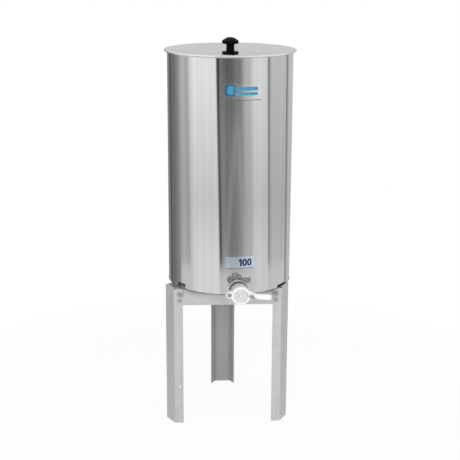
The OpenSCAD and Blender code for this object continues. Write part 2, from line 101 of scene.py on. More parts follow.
# Faint upright streaks: stretch and detail of their noise, and their most gain or loss
STREAK_STRETCH, STREAK_DETAIL, STREAK_GAIN = (2.2, 2.2, 0.12), 5.0, 0.07
# Bright skirt low on the ring, which the foot of the wall mirrors
SKIRT_LOW, SKIRT_HIGH, SKIRT_LEVEL = -0.86, -0.79, 0.76
SKIRT_START, SKIRT_END, SKIRT_SOFT = math.radians(-112), math.radians(112), math.radians(5)

# Sizes of the object that the details follow
WALL_R = 0.185
LID_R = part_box("lid")[1].x
TANK_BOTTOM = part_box("tank_shell")[0].z
OUTLET_Z = mounts["gate_mouth"]["pos_m"][2]
SOCKET_R = 0.0215
SHEET = 0.002
SCREW_R, THREAD_PITCH, THREAD_DEPTH, NUT_CLEAR = 0.003, 0.001, 0.0005, 0.0001
HEX_AF, HEAD_H, NUT_H = 0.010, 0.004, 0.005
HEX_R = HEX_AF / 2 / math.cos(math.radians(30))
# Chamfer of a hexagon: its radius as a share of the flats' and its slope
CHAMFER_SHARE, CHAMFER_SLOPE = 0.96, math.tan(math.radians(30))
# Bolts: their point as a share of the thread's root, length past the nut, plain length of the gate's two
POINT_SHARE, BOLT_PROUD, PIVOT_PLAIN, CLAMP_PLAIN = 0.8, 0.002, 0.010, 0.013
# Screws shade as sharp where faces meet at more than an angle; points closer than this are joined
SHARP_ANGLE, JOIN = math.radians(25), 1e-7
# Label film: how far it sinks into and stands off the wall, and the height of one layer of ink
FILM_SUNK, FILM_T, INK = -0.00005, 0.00012, 0.00008
DIGIT_LOW, DIGIT_HIGH = 0.0882, 0.1097

# Limits in the materials: for lighter edges, worn and painted highlight, cosines between the rounded and the
# flat normal; for hollows and thin walls, where painted shade goes, shares of open view
EDGE_FULL, EDGE_END = 0.8, 0.99
HOLLOW_FULL, HOLLOW_END = 0.35, 0.98
THIN_FULL, THIN_END = 0.36, 0.48
EDGE_SAMPLES, HOLLOW_SAMPLES = 4, 8
# Weld up the back of the wall: half its width, where its colour ends, least Y of the back, added roughness
SEAM_FULL, SEAM_END, SEAM_BEHIND, SEAM_ROUGHNESS = 0.0006, 0.0014, 0.1, 0.25
# Matt finish inside the tank
MATT_FULL, MATT_END = WALL_R - 0.0007, WALL_R - 0.0003
MATT_METALLIC, MATT_ROUGHNESS = 0.55, 0.30
# Hem of the lid, polished and lighter as a painted highlight, and its roughness as a share of the lid's
HEM_START, HEM_FULL, HEM_ROUGHNESS = LID_R - 0.0012, LID_R - 0.0005, 0.4
# Painted shade on the stand in the gaps round the tank's foot
FOOT_SHADE_START, FOOT_SHADE_FULL, FOOT_SHADE_REACH = TANK_BOTTOM - 0.04, TANK_BOTTOM - 0.01, 0.03
# Crystals of the zinc coat: how many a metre, and their share in its colour and roughness
SPANGLE_SCALE, SPANGLE_SHARE, SPANGLE_ROUGHNESS = 85.0, 0.35, 0.10


# Shader nodes

def add(tree, kind, sockets=None, **settings):
    """A new node; each socket is set to a number or colour, or linked from another socket."""
    node = tree.nodes.new(kind)
    for key, value in settings.items():
        setattr(node, key, value)
    for key, value in (sockets or {}).items():
        if isinstance(value, bpy.types.NodeSocket):
            tree.links.new(value, node.inputs[key])
        else:
            node.inputs[key].default_value = value
    return node


def coords(tree, stretch=(1, 1, 1)):
    place = add(tree, "ShaderNodeTexCoord").outputs["Object"]
    return add(tree, "ShaderNodeMapping", {"Vector": place, "Scale": stretch}).outputs[0]


def even(scale):
    """The same stretch along each axis."""
    return (scale, scale, scale)


def noise(tree, stretch, detail=4.0):
    """Noise whose features are about one over the stretch, in metres, along each axis."""
    return add(tree, "ShaderNodeTexNoise",
               {"Vector": coords(tree, stretch), "Scale": 1.0, "Detail": detail}).outputs[0]


def cells(tree, scale):
    """One random level for each cell, as on the crystals of a zinc coat."""
    node = add(tree, "ShaderNodeTexVoronoi", {"Vector": coords(tree), "Scale": scale})
    return add(tree, "ShaderNodeSeparateColor", {"Color": node.outputs["Color"]}).outputs[0]


def remap(tree, value, low, high, start=0.3, end=0.7):
    """Low at the start, high at the end; the usual start and end suit noise."""
    return add(tree, "ShaderNodeMapRange", {
        "Value": value, "From Min": start, "From Max": end,
        "To Min": low, "To Max": high}).outputs[0]


def maths(tree, operation, a, b=0.0):
    return add(tree, "ShaderNodeMath", {0: a, 1: b}, operation=operation).outputs[0]


def mix(tree, factor, a, b):
    """Colour between a and b."""
    return add(tree, "ShaderNodeMix", {0: factor, 6: a, 7: b}, data_type="RGBA").outputs[2]


def grey(level, warmth=0.0):
    return (level + warmth, level, level - warmth, 1.0)


def mottle(tree, dark, light, stretch, detail=4.0):
    """Colour that drifts between two tones."""
    return mix(tree, remap(tree, noise(tree, stretch, detail), 0.0, 1.0), dark, light)


def relief(tree, layers, rounding):
    """Normal of a surface with rounded edges and layers of bump, each a height and its depth."""
    normal = add(tree, "ShaderNodeBevel", {"Radius": rounding}, samples=EDGE_SAMPLES).outputs[0]
    for height, depth in layers:
        normal = add(tree, "ShaderNodeBump", {
            "Height": height, "Distance": depth, "Normal": normal}).outputs[0]
    return normal


def edge_mask(tree, radius):
    """One along edges and zero on open faces."""
    rounded = add(tree, "ShaderNodeBevel", {"Radius": radius}, samples=EDGE_SAMPLES).outputs[0]
    flat = add(tree, "ShaderNodeNewGeometry").outputs["Normal"]
    dot = add(tree, "ShaderNodeVectorMath", {0: rounded, 1: flat}, operation="DOT_PRODUCT")
    return remap(tree, dot.outputs["Value"], 1.0, 0.0, EDGE_FULL, EDGE_END)


def hollow_shade(tree, reach, alone=True):
    """Up to one in corners and narrow gaps, where shade falls, and zero on open faces; it marks where
    painted shade goes.
    """
    open_share = add(tree, "ShaderNodeAmbientOcclusion", {"Distance": reach},
                     samples=HOLLOW_SAMPLES, only_local=alone)
    return remap(tree, open_share.outputs["AO"], 1.0, 0.0, HOLLOW_FULL, HOLLOW_END)


def thin_walls(tree, reach):
    """One where the wall behind the surface is about half as thick as the reach, or thinner."""
    depth = add(tree, "ShaderNodeAmbientOcclusion", {"Distance": reach},
                samples=HOLLOW_SAMPLES, only_local=True, inside=True)
    return remap(tree, depth.outputs["AO"], 1.0, 0.0, THIN_FULL, THIN_END)


def material(name, colour, roughness, normal, metallic=0.0, specular=0.5, edge=1.0):
    """A material from functions that make its colour, roughness, normal and, if need be, metallic share."""
    made = bpy.data.materials.new(name)
    made.use_nodes = True
    tree = made.node_tree
    shader = tree.nodes["Principled BSDF"]
    if callable(metallic):
        tree.links.new(metallic(tree), shader.inputs["Metallic"])
    else:
        shader.inputs["Metallic"].default_value = metallic
    shader.inputs["Specular IOR Level"].default_value = specular
    shader.inputs["Specular Tint"].default_value = grey(edge)
    tree.links.new(colour(tree), shader.inputs["Base Color"])
    tree.links.new(roughness(tree), shader.inputs["Roughness"])
    tree.links.new(normal(tree), shader.inputs["Normal"])
    return made


def plain(name, tones, gloss, bump, rounding, edge_wear_and_highlight=None, **shader):
    """A material with mottled tones, an uneven gloss, a fine bump and, if need be, lighter edges: wear and
    painted highlight.

    Tones are two colours and a noise, gloss is two roughnesses and a noise, bump is a depth and a noise, and
    the argument for edges is a radius and a colour. A noise is a stretch and, where it isn't the usual one,
    a detail.
    """
    def colour(tree):
        body = mottle(tree, *tones)
        # Lighter edges: wear and a painted highlight
        return mix(tree, edge_mask(tree, edge_wear_and_highlight[0]), body, edge_wear_and_highlight[1]) if edge_wear_and_highlight else body

    def roughness(tree):
        low, high, *grain = gloss
        return remap(tree, noise(tree, *grain), low, high)

    def normal(tree):
        depth, *grain = bump
        return relief(tree, [(noise(tree, *grain), depth)], rounding)

    return material(name, colour, roughness, normal, **shader)


# Materials

def seam_line(tree):
    """One along the butt weld up the back of the wall."""
    place = add(tree, "ShaderNodeSeparateXYZ", {0: coords(tree)})
    beside = maths(tree, "ABSOLUTE", place.outputs["X"])
    near = remap(tree, beside, 1.0, 0.0, SEAM_FULL, SEAM_END)
    return maths(tree, "MULTIPLY", near, maths(tree, "GREATER_THAN", place.outputs["Y"], SEAM_BEHIND))


def axis_reach(tree):
    """Distance from the tank's axis."""
    flat = coords(tree, (1, 1, 0))
    return add(tree, "ShaderNodeVectorMath", {0: flat}, operation="LENGTH").outputs["Value"]


def inner_face(tree):
    """One on the inside of the tank's wall, which keeps the mill's matt finish."""
    return remap(tree, axis_reach(tree), 1.0, 0.0, MATT_FULL, MATT_END)


def wall_steel():
    """Polished sheet with upright streaks, matt inside."""
    def colour(tree):
        bright = mottle(tree, grey(0.65, -0.004), grey(0.69, -0.004), stretch=(60, 60, 0.4), detail=8.0)
        return mix(tree, seam_line(tree), bright, grey(0.42, 0.01))

    def roughness(tree):
        streaks = remap(tree, noise(tree, (320, 320, 1.5)), 0.05, 0.10)
        welded = maths(tree, "ADD", streaks, maths(tree, "MULTIPLY", seam_line(tree), SEAM_ROUGHNESS))
        return maths(tree, "ADD", welded, maths(tree, "MULTIPLY", inner_face(tree), MATT_ROUGHNESS))

    def metallic(tree):
        return remap(tree, inner_face(tree), 1.0, MATT_METALLIC, 0.0, 1.0)

    def normal(tree):
        waves = noise(tree, (14, 14, 0.5), 2.0)
        lines = noise(tree, (350, 350, 1.2), 2.0)
        layers = [(waves, 0.00005), (lines, 0.000002), (seam_line(tree), 0.00008)]
        return relief(tree, layers, rounding=0.0006)

    return material("wall_steel", colour, roughness, normal, metallic)


def hem_polish_and_highlight(tree):
    """One on the hem round the lid's edge, which is polished and lighter as a painted highlight."""
    return remap(tree, axis_reach(tree), 0.0, 1.0, HEM_START, HEM_FULL)


def lid_steel(name, metallic):
    """Sheet brushed along X, with a polished hem whose lighter colour is a painted highlight."""
    def colour(tree):
        sheet = mottle(tree, grey(0.63, -0.003), grey(0.69, -0.003), stretch=(9, 30, 9))
        # Painted highlight: the hem is lighter than the sheet
        return mix(tree, hem_polish_and_highlight(tree), sheet, grey(0.84))

    def roughness(tree):
        brushed = remap(tree, noise(tree, (6, 420, 6)), 0.22, 0.32)
        polish = remap(tree, hem_polish_and_highlight(tree), 1.0, HEM_ROUGHNESS, 0.0, 1.0)
        return maths(tree, "MULTIPLY", brushed, polish)

    def normal(tree):
        brushed = noise(tree, (8, 600, 8), 2.0)
        return relief(tree, [(brushed, 0.000003)], rounding=0.0005)

    return material(name, colour, roughness, normal, metallic, edge=0.76)


def tank_foot_shade(tree):
    """Up to one in the gaps round the tank's foot, where the stand gets painted shade."""
    height = add(tree, "ShaderNodeSeparateXYZ", {0: coords(tree)}).outputs["Z"]
    near = remap(tree, height, 0.0, 1.0, FOOT_SHADE_START, FOOT_SHADE_FULL)
    return maths(tree, "MULTIPLY", near, hollow_shade(tree, FOOT_SHADE_REACH, alone=False))


def galvanised(name, grain):
    """Zinc-coated sheet, with its rolling marks stretched by the grain."""
    def colour(tree):
        spangle = maths(tree, "MULTIPLY", cells(tree, SPANGLE_SCALE), SPANGLE_SHARE)
        marks = remap(tree, noise(tree, grain, 6.0), 0.0, 1.0)
        level = maths(tree, "ADD", spangle, maths(tree, "MULTIPLY", marks, 1 - SPANGLE_SHARE))
        sheet = mix(tree, level, grey(0.56, -0.006), grey(0.69, -0.006))
        # Painted shade: the sheet darkens towards near black in the channel and corners of each leg
        channel_shaded = mix(tree, hollow_shade(tree, reach=0.05), sheet, grey(0.07))
        # Lighter edges and folds: wear on the zinc and a painted highlight
        edge_wear_and_highlight = mix(tree, edge_mask(tree, radius=0.0012), channel_shaded, grey(0.78, -0.003))
        # Painted shade, near black, in the gaps under the tank's foot
        return mix(tree, tank_foot_shade(tree), edge_wear_and_highlight, grey(0.05))

    def roughness(tree):
        spangle = maths(tree, "MULTIPLY", cells(tree, SPANGLE_SCALE), SPANGLE_ROUGHNESS)
        return maths(tree, "ADD", spangle, remap(tree, noise(tree, grain), 0.42, 0.54))

    def normal(tree):
        dents = noise(tree, even(25), 2.0)
        marks = noise(tree, grain, 3.0)
        return relief(tree, [(dents, 0.0001), (marks, 0.000006)], rounding=0.0008)

    return material(name, colour, roughness, normal, metallic=0.55, specular=0.3)


def nylon(name, groove_shade_share):
    """Moulded nylon: greyer where it is thin, as painted shade for the light that passes through it, and
    with this share of painted shade in its grooves.
    """
    def colour(tree):
        body = mottle(tree, (0.83, 0.83, 0.815, 1), (0.89, 0.89, 0.88, 1), stretch=even(55), detail=5.0)
        # Painted shade where the nylon is thin, standing in for light passing through it
        thin_shaded = mix(tree, thin_walls(tree, reach=0.006), body, (0.58, 0.58, 0.57, 1))
        # Painted highlight on the nylon's edges, rims and ribs
        edge_wear_and_highlight = mix(tree, edge_mask(tree, radius=0.0014), thin_shaded, (0.91, 0.91, 0.90, 1))
        # Painted shade in grooves and between ribs, by a share set for each part
        grooves_darkened = maths(tree, "MULTIPLY", hollow_shade(tree, reach=0.004), groove_shade_share)
        return mix(tree, grooves_darkened, edge_wear_and_highlight, (0.30, 0.30, 0.29, 1))

    def roughness(tree):
        return remap(tree, noise(tree, even(420)), 0.33, 0.48)

    def normal(tree):
        sink = noise(tree, even(40), 1.0)
        grain = noise(tree, even(1500), 2.0)
        return relief(tree, [(sink, 0.00015), (grain, 0.000008)], rounding=0.0006)

    return material(name, colour, roughness, normal)


def socket_steel():
    """Turned steel, with tool marks round its axis."""
    return plain("socket_steel", tones=(grey(0.60), grey(0.70), (20, 900, 20)),
                 gloss=(0.16, 0.28, (15, 500, 15)), bump=(0.00001, (10, 1400, 10), 1.0),
                 rounding=0.0004, metallic=1.0)


def weld_steel(name, dark, light):
    return plain(name, tones=(dark, light, even(160)), gloss=(0.25, 0.42, even(400)),
                 bump=(0.00003, even(900)), rounding=0.0003, metallic=1.0)


def zinc():
    # Its lighter edges are wear and a painted highlight
    return plain("zinc", tones=((0.44, 0.44, 0.45, 1), (0.55, 0.56, 0.57, 1), even(300)),
                 gloss=(0.24, 0.38, even(700)), bump=(0.000006, even(1200)), rounding=0.0003,
                 edge_wear_and_highlight=(0.0005, grey(0.62)), metallic=1.0)


def brass():
    return plain("brass", tones=((0.58, 0.41, 0.16, 1), (0.74, 0.56, 0.26, 1), even(200)),
                 gloss=(0.2, 0.34, even(500)), bump=(0.000008, (60, 60, 2500), 1.0),
                 rounding=0.0003, metallic=1.0)


def black_plastic():
    return plain("black_plastic", tones=(grey(0.002), grey(0.005, -0.0005), even(90), 5.0),
                 gloss=(0.30, 0.44, even(350)), bump=(0.000008, even(1300), 2.0),
                 rounding=0.0005, specular=0.05)


def rubber():
    return plain("rubber", tones=(grey(0.012), grey(0.026), even(150), 5.0),
                 gloss=(0.55, 0.75, even(600)), bump=(0.00002, even(1800)),
                 rounding=0.0006, specular=0.3)


def print_film(name, dark, light, low_gloss=0.3, metallic=0.0):
    """Sticker film or the ink on it."""
    return plain(name, tones=(dark, light, even(120), 5.0), gloss=(low_gloss, low_gloss + 0.12, even(260)),
                 bump=(0.000005, even(500), 2.0), rounding=0.0002, metallic=metallic)


# Meshes

def piece(name, vertices, faces, look, body, smooth=True):
    """A mesh that rides on a body."""
    mesh = bpy.data.meshes.new(name)
    mesh.from_pydata([tuple(v) for v in vertices], [], faces)
    tidy = bmesh.new()
    tidy.from_mesh(mesh)
    bmesh.ops.recalc_face_normals(tidy, faces=tidy.faces)
    tidy.to_mesh(mesh)
    tidy.free()
    mesh.materials.append(look)
    mesh.polygons.foreach_set("use_smooth", [smooth] * len(mesh.polygons))
    made = bpy.data.objects.new(name, mesh)
    bpy.context.scene.collection.objects.link(made)
    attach(made, body)
    return made


def circle(steps):
    """Angles of equal steps once round."""
    return [2 * math.pi * i / steps for i in range(steps)]


def flat_ring(r, z, steps=72):
    return [Vector((r * math.cos(turn), r * math.sin(turn), z)) for turn in circle(steps)]


def loft(rings):
    """Points of closed rings of equal length, one ring after another, and the faces between them."""
    count = len(rings[0])
    faces = []
    for i in range(len(rings) - 1):
        for j in range(count):
            k = (j + 1) % count
            faces.append((i * count + j, i * count + k, (i + 1) * count + k, (i + 1) * count + j))
    return [point for ring in rings for point in ring], faces


def on_wall(along, height, lift):
    """Point on the tank's wall: metres to the right of the outlet, above the floor, off the wall."""
    turn = along / WALL_R
    reach = WALL_R + lift
    return Vector((reach * math.sin(turn), -reach * math.cos(turn), height))


def film(name, low, high, lift, look, closed=False):
    """Thin sheet on the wall between two rows of points, each along the wall and above the floor."""
    rings = []
    for a, b in zip(low, high):
        rings.append([on_wall(*a, lift + FILM_SUNK), on_wall(*a, lift + FILM_T),
                      on_wall(*b, lift + FILM_T), on_wall(*b, lift + FILM_SUNK)])
    if closed:
        rings.append(rings[0])
    vertices, faces = loft(rings)
    if not closed:
        last = len(vertices) - len(rings[0])
        faces += [(0, 1, 2, 3), (last + 3, last + 2, last + 1, last)]
    return piece(name, vertices, faces, look, "tank", smooth=False)


def rounded_bar(name, left, right, low, high, corner, lift, look):
    """Film with round corners between two azimuths, in degrees, and two heights above the tank's bottom."""
    steps, corner_steps = 24, 6
    start, end = math.radians(left) * WALL_R, math.radians(right) * WALL_R
    places = [start + corner * (1 - math.cos(math.pi / 2 * i / corner_steps)) for i in range(corner_steps)]
    places += [start + corner + (end - start - 2 * corner) * i / steps for i in range(steps + 1)]
    places += [start + end - place for place in reversed(places[:corner_steps])]
    lows, highs = [], []
    for place in places:
        inset = max(0.0, corner - min(place - start, end - place))
        drop = corner - math.sqrt(max(0.0, corner ** 2 - inset ** 2))
        lows.append((place, TANK_BOTTOM + low + drop))
        highs.append((place, TANK_BOTTOM + high - drop))
    return film(name, lows, highs, lift, look)


def digit_ring(name, middle, width, stroke, look):
    """A nought: a rounded oval band, a little thinner at its top and bottom."""
    steps, squareness, thinning = 48, 0.8, 0.85
    centre = TANK_BOTTOM + (DIGIT_LOW + DIGIT_HIGH) / 2
    across = math.radians(middle) * WALL_R
    half_w, half_h = width / 2, (DIGIT_HIGH - DIGIT_LOW) / 2
    inner, outer = [], []
    for turn in circle(steps):
        c, s = (math.copysign(abs(v) ** squareness, v) for v in (math.cos(turn), math.sin(turn)))
        outer.append((across + half_w * c, centre + half_h * s))
        inner.append((across + (half_w - stroke) * c, centre + (half_h - stroke * thinning) * s))
    return film(name, inner, outer, INK, look, closed=True)


def digit_one(name, middle, width, stroke, look):
    """A one: a bar with a slanted flag, drawn as columns from left to right."""
    flag_start, flag_end, flag_rise, flag_top = 1.75, 0.75, 0.35, 0.1
    right = math.radians(middle) * WALL_R + width / 2
    bar, left = right - stroke, right - width
    bottom, top = TANK_BOTTOM + DIGIT_LOW, TANK_BOTTOM + DIGIT_HIGH
    flag_low, flag_high = top - stroke * flag_start, top - stroke * flag_end
    lows = [(left, flag_low), (bar, flag_low + stroke * flag_rise), (bar, bottom), (right, bottom)]
    highs = [(left, flag_high), (bar, top - stroke * flag_top), (bar, top), (right, top)]
    return film(name, lows, highs, INK, look)


def bead(name, rows, across, sides, look):
    """Round bead along rows, each a centre, the way out and a radius."""
    rings = [[centre + size * (out * math.cos(a) + across * math.sin(a)) for a in circle(sides)]
             for centre, out, size in rows]
    vertices, faces = loft(rings)
    return piece(name, vertices, faces, look, "tank")


def weld_bead(look):
    """Rippled bead where the socket goes through the wall."""
    steps, sides, bead_r, sunk, ripple, ripples = 180, 10, 0.0016, 0.45, 0.10, 45
    path_r = SOCKET_R + bead_r * sunk
    rows = []
    for turn in circle(steps) + [2 * math.pi]:
        x = path_r * math.cos(turn)
        centre = Vector((x, -math.sqrt(WALL_R ** 2 - x * x), OUTLET_Z + path_r * math.sin(turn)))
        out = Vector((math.cos(turn), 0, math.sin(turn)))
        rows.append((centre, out, bead_r * (1 + ripple * math.sin(turn * ripples))))
    return bead("weld_bead", rows, Vector((0, -1, 0)), sides, look)


def foot_weld(look):
    """Thin bead round the foot of the wall, where it joins the pan."""
    steps, sides, bead_r, lift, ripple, ripples = 480, 8, 0.0011, 1.15, 0.06, 120
    rows = []
    for turn in circle(steps) + [2 * math.pi]:
        out = Vector((math.cos(turn), math.sin(turn), 0))
        centre = out * WALL_R + Vector((0, 0, TANK_BOTTOM + bead_r * lift))
        rows.append((centre, out, bead_r * (1 + ripple * math.sin(turn * ripples))))
    return bead("foot_weld", rows, Vector((0, 0, 1)), sides, look)


# Screws

def frame_along(axis, spin):
    """Turn that takes Z to the axis."""
    return axis.to_track_quat("Z", "Y").to_matrix() @ Matrix.Rotation(spin, 3, "Z")


def hex_rings(low, high, chamfer_low, chamfer_high):
    """Rings of a hexagon head or nut from its lower to its upper face; a chamfer cuts its corners."""
    steps, chamfer_r = 72, HEX_AF / 2 * CHAMFER_SHARE
    side_low, side_high = [], []
    for turn in circle(steps):
        away = (turn % (math.pi / 3)) - math.pi / 6
        r = HEX_AF / 2 / math.cos(away)
        c, s = math.cos(turn), math.sin(turn)
        cut = (r - chamfer_r) * CHAMFER_SLOPE
        side_low.append(Vector((r * c, r * s, low + cut * chamfer_low)))
        side_high.append(Vector((r * c, r * s, high - cut * chamfer_high)))
    return [flat_ring(chamfer_r, low, steps), side_low, side_high, flat_ring(chamfer_r, high, steps)]


def thread_rings(low, high):
    """Rings of a screw's thread, whose crest climbs one pitch a turn."""
    steps, per_pitch = 72, 8
    count = max(2, round((high - low) / THREAD_PITCH * per_pitch))
    rings = []
    for i in range(count + 1):
        z = low + (high - low) * i / count
        ring = []
        for j, turn in enumerate(circle(steps)):
            phase = (z / THREAD_PITCH - j / steps) % 1.0
            r = SCREW_R - THREAD_DEPTH * abs(2 * phase - 1)
            ring.append(Vector((r * math.cos(turn), r * math.sin(turn), z)))
        rings.append(ring)
    return rings


def bolt_shape(length, plain_length):
    """Bolt whose head stands on height zero and whose shank goes down; its upper part has no thread."""
    end, point_r = -length, (SCREW_R - THREAD_DEPTH) * POINT_SHARE
    rings = [flat_ring(0.0, end), flat_ring(point_r, end)]
    rings += thread_rings(end + THREAD_DEPTH, -plain_length)
    rings += [flat_ring(SCREW_R, -plain_length), flat_ring(SCREW_R, 0.0)]
    rings += hex_rings(0.0, HEAD_H, 0.0, 1.0) + [flat_ring(0.0, HEAD_H)]
    return loft(rings)


def nut_shape():
    """Nut with both faces chamfered, standing on height zero."""
    hole_r = SCREW_R + NUT_CLEAR
    rings = hex_rings(0.0, NUT_H, 1.0, 1.0)
    rings += [flat_ring(hole_r + THREAD_DEPTH, NUT_H), flat_ring(hole_r, NUT_H - THREAD_DEPTH)]
    rings += [flat_ring(hole_r, THREAD_DEPTH), flat_ring(hole_r + THREAD_DEPTH, 0.0), rings[0]]
    return loft(rings)


def shade_by_angle(made):
    """Joins points in one place, and sharpens edges where faces meet at more than an angle."""
    edges = bmesh.new()
    edges.from_mesh(made.data)
    bmesh.ops.remove_doubles(edges, verts=edges.verts, dist=JOIN)
    for edge in edges.edges:
        edge.smooth = len(edge.link_faces) == 2 and edge.calc_face_angle(0.0) < SHARP_ANGLE
    edges.to_mesh(made.data)
    edges.free()


def screws(node, shape, places):
    """Copies of a shape at places, each a seat, an axis and a spin, that stand for a CAD node."""
    vertices, faces = [], []
    points, pattern = shape
    for seat, axis, spin in places:
        first = len(vertices)
        turned = frame_along(axis, spin)
        vertices += [seat + turned @ point for point in points]
        faces += [tuple(first + i for i in face) for face in pattern]
    made = piece(node + "_detail", vertices, faces, looks["zinc_screws"], "tank")
    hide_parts(node)
    shade_by_angle(made)


def stand_joints(box):
    """Place of each of the stand's bolts, in the middle of a leg's flange sheet, with its outward axis."""
    holes = [mounts["leg_hole_" + name] for name in ("front_left", "front_right", "back")]
    flat = [Vector(hole["pos_m"][:2] + [0.0]) for hole in holes]
    middle = sum(flat, Vector()) / len(flat)
    rows = (box[0].z + HEX_R, box[1].z - HEX_R)
    found = []
    for hole, place in zip(holes, flat):
        axis = Vector(hole["axis"])
        side = Vector((-axis.y, axis.x, 0.0))
        across = side * (place - middle).dot(side)
        for end in (place, place - 2 * across):
            found += [(end + Vector((0, 0, z)), axis) for z in rows]
    return found


# Build

looks = {
    "stainless": lid_steel("lid_steel", 1.0), "socket_steel": socket_steel(), "rubber": rubber(),
    "galvanised": galvanised("galvanised_leg", (180, 180, 2)), "white_nylon": nylon("nylon", 0.2),
    "black_plastic": black_plastic(), "zinc_screws": zinc(), "brass": brass(),
}
# The union nut's nylon gets more painted shade between its ribs
special = {"tank_shell": wall_steel(), "tank_floor": lid_steel("pan_steel", MATT_METALLIC),
           "union_nut": nylon("ribbed_nylon", 0.8)}
bar_look = galvanised("galvanised_bar", (3, 3, 200))
special.update({name: bar_look for name in nodes if name.startswith("crossbar")})
for name, node in nodes.items():
    for slot in node.material_slots:
        slot.material = special.get(name, looks[slots[name]])

weld_bead(weld_steel("weld_steel", (0.50, 0.48, 0.45, 1), (0.64, 0.63, 0.62, 1)))
# The bead round the wall's foot is dark as painted shade along the tank's lower edge
foot_weld(weld_steel("foot_weld_shade", grey(0.14), grey(0.30)))

foil = print_film("foil_print", grey(0.67, -0.004), grey(0.73, -0.004), 0.10, metallic=1.0)
blue = print_film("blue_print", (0.004, 0.085, 0.17, 1), (0.008, 0.12, 0.23, 1))
pale_blue = print_film("pale_blue_print", (0.03, 0.22, 0.36, 1), (0.06, 0.29, 0.44, 1))
blue_foil = print_film("label_print", (0.70, 0.80, 0.90, 1), (0.78, 0.88, 0.97, 1), 0.10, metallic=1.0)
navy = print_film("navy_print", (0.006, 0.022, 0.09, 1), (0.010, 0.032, 0.12, 1))
# Painted shadow lines along the labels' lower edges
label_shadow_grey = print_film("label_shadow_print", grey(0.06), grey(0.10))

# Each film of the labels: left and right azimuth in degrees, low and high edge above the tank's bottom,
# radius of its corners, lift off the wall, look
for film_row in (
        ("upper_label", -12.8, 21.5, 0.5693, 0.6183, 0.003, 0.0, foil),
        ("upper_label_block", -12.2, -3.4, 0.5823, 0.6163, 0.006, INK, blue),
        ("upper_label_block_middle", -9.6, -4.4, 0.5873, 0.6113, 0.005, 2 * INK, pale_blue),
        ("upper_label_bar_1", -2.4, 17.4, 0.5983, 0.6083, 0.003, INK, pale_blue),
        ("upper_label_bar_2", -2.4, 17.4, 0.5853, 0.5933, 0.003, INK, pale_blue),
        # Painted shadow line under the upper label's print
        ("upper_label_shadow", -12.2, 20.9, 0.5708, 0.5728, 0.0008, INK, label_shadow_grey),
        ("lower_label", -10.6, 15.6, 0.0797, 0.1162, 0.002, 0.0, blue_foil),
        # Painted shadow line under the lower label's print
        ("lower_label_shadow", -10.2, 15.2, 0.0807, 0.0824, 0.0006, INK, label_shadow_grey)):
    rounded_bar(*film_row)
digit_one("lower_label_digit_1", 2.6, width=0.0095, stroke=0.0056, look=navy)
digit_ring("lower_label_digit_2", 6.5, width=0.0140, stroke=0.0052, look=navy)
digit_ring("lower_label_digit_3", 11.0, width=0.0140, stroke=0.0052, look=navy)

joints = stand_joints(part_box("stand_bolts"))
corner_up = math.radians(90)
grip = 2 * SHEET
screws("stand_bolts", bolt_shape(grip + NUT_H + BOLT_PROUD, grip),
       [(place + axis * SHEET / 2, axis, corner_up) for place, axis in joints])
screws("stand_nuts", nut_shape(),
       [(place + axis * (SHEET / 2 - grip), -axis, corner_up) for place, axis in joints])

# The pivot bolt's head is in front of the gate's plate, the clamp bolt's behind it
ahead = Vector((0, -1, 0))
low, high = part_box("pivot_bolt")
pivot = (low + high) / 2
pivot.y = low.y + HEAD_H
screws("pivot_bolt", bolt_shape(high.y - pivot.y, PIVOT_PLAIN), [(pivot, ahead, 0.0)])
nut_seat = Vector((pivot.x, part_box("pivot_nut")[0].y, pivot.z))
screws("pivot_nut", nut_shape(), [(nut_seat, -ahead, 0.0)])
low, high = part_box("clamp_bolt")
clamp = (low + high) / 2
clamp.y = high.y - HEAD_H
screws("clamp_bolt", bolt_shape(clamp.y - low.y, CLAMP_PLAIN), [(clamp, -ahead, 0.0)])


# Studio

def studio_mesh(name, rings):
    """A lofted object with a material that has no shader yet; gives the object and the material's nodes."""
    vertices, faces = loft(rings)
    mesh = bpy.data.meshes.new(name)
    mesh.from_pydata([tuple(v) for v in vertices], [], faces)
    look = bpy.data.materials.new(name)
    look.use_nodes = True
    tree = look.node_tree
    tree.nodes.remove(tree.nodes["Principled BSDF"])
    mesh.materials.append(look)
    made = bpy.data.objects.new(name, mesh)
    bpy.context.scene.collection.objects.link(made)
    return made, tree


def show(tree, shader):
    tree.links.new(shader.outputs[0], tree.nodes["Material Output"].inputs["Surface"])


def floor():
    """Pale disc that fades out into the white world."""
    disc, tree = studio_mesh("studio_floor", [flat_ring(FLOOR_R * i / FLOOR_RINGS, 0.0)
                                              for i in range(FLOOR_RINGS + 1)])
    paint = mottle(tree, grey(0.95), grey(0.97), even(3))
    matt = add(tree, "ShaderNodeBsdfDiffuse", {"Color": paint}).outputs[0]
    glow = add(tree, "ShaderNodeEmission", {"Color": grey(1.0), "Strength": 1.0}).outputs[0]
    seen = add(tree, "ShaderNodeLightPath").outputs["Is Camera Ray"]
    white = maths(tree, "MULTIPLY", seen, FLOOR_WHITE)
    lit = add(tree, "ShaderNodeMixShader", {0: white, 1: matt, 2: glow}).outputs[0]
    reach = add(tree, "ShaderNodeVectorMath", {0: coords(tree)}, operation="LENGTH").outputs["Value"]
    clear = add(tree, "ShaderNodeBsdfTransparent").outputs[0]
    faded = remap(tree, reach, 0.0, 1.0, FLOOR_FADE_START, FLOOR_FADE_END)
    show(tree, add(tree, "ShaderNodeMixShader", {0: faded, 1: lit, 2: clear}))


